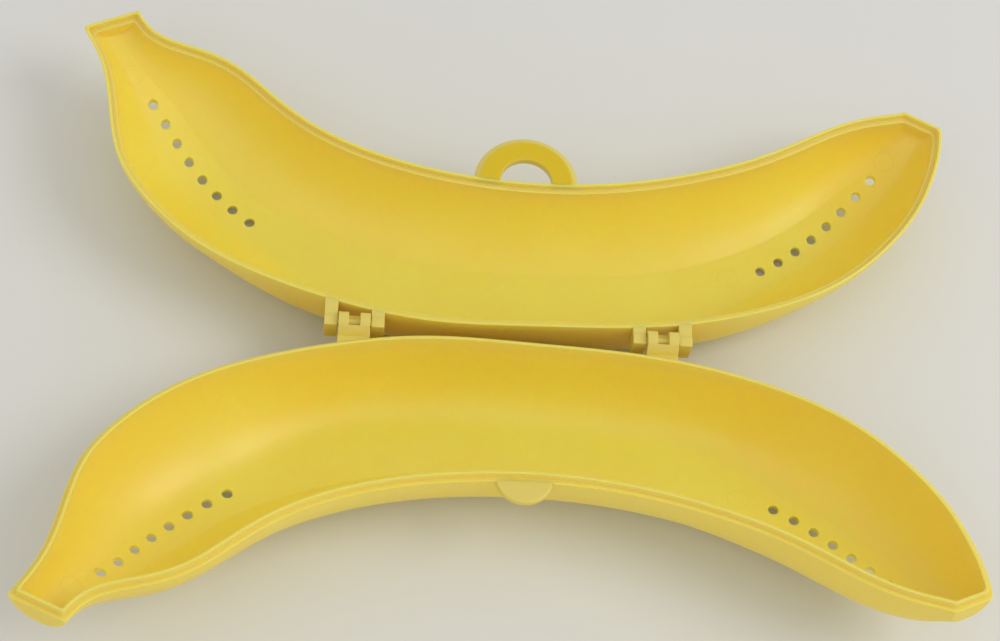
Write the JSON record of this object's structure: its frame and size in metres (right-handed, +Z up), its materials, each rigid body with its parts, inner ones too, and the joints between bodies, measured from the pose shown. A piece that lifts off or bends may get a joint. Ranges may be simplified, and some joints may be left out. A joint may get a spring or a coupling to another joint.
{
  "type": "banana carrying case",
  "caption": "Bowed clamshell case of satin plastic that holds one banana: two mirrored half shells on two clip hinges, with vent holes, a finger tab and a carry loop.",
  "frame": {"origin": "on the table, under the middle of the open case's box", "axes": "+X along the hinge line towards the blossom end, +Y from the base towards the open lid, +Z up"},
  "size_m": [0.26, 0.2008, 0.0386],
  "materials": {
    "shell_plastic": "satin moulded polypropylene",
    "trim_plastic": "satin moulded polypropylene"
  },
  "bodies": {
    "base": {"base_shell": "shell_plastic", "finger_tab": "trim_plastic", "hinge_clip_left": "trim_plastic", "hinge_clip_right": "trim_plastic"},
    "lid": {"lid_shell": "shell_plastic", "carry_loop": "trim_plastic", "hinge_lugs_left": "trim_plastic", "hinge_lugs_right": "trim_plastic", "hinge_pin_left": "trim_plastic", "hinge_pin_right": "trim_plastic"}
  },
  "joints": [
    {"name": "lid_hinge", "type": "hinge", "parent": "base", "child": "lid", "pos_m": [-0.00083, -0.00029, 0.02459], "axis": [1, 0, 0], "range_deg": [0, 170]}
  ]
}
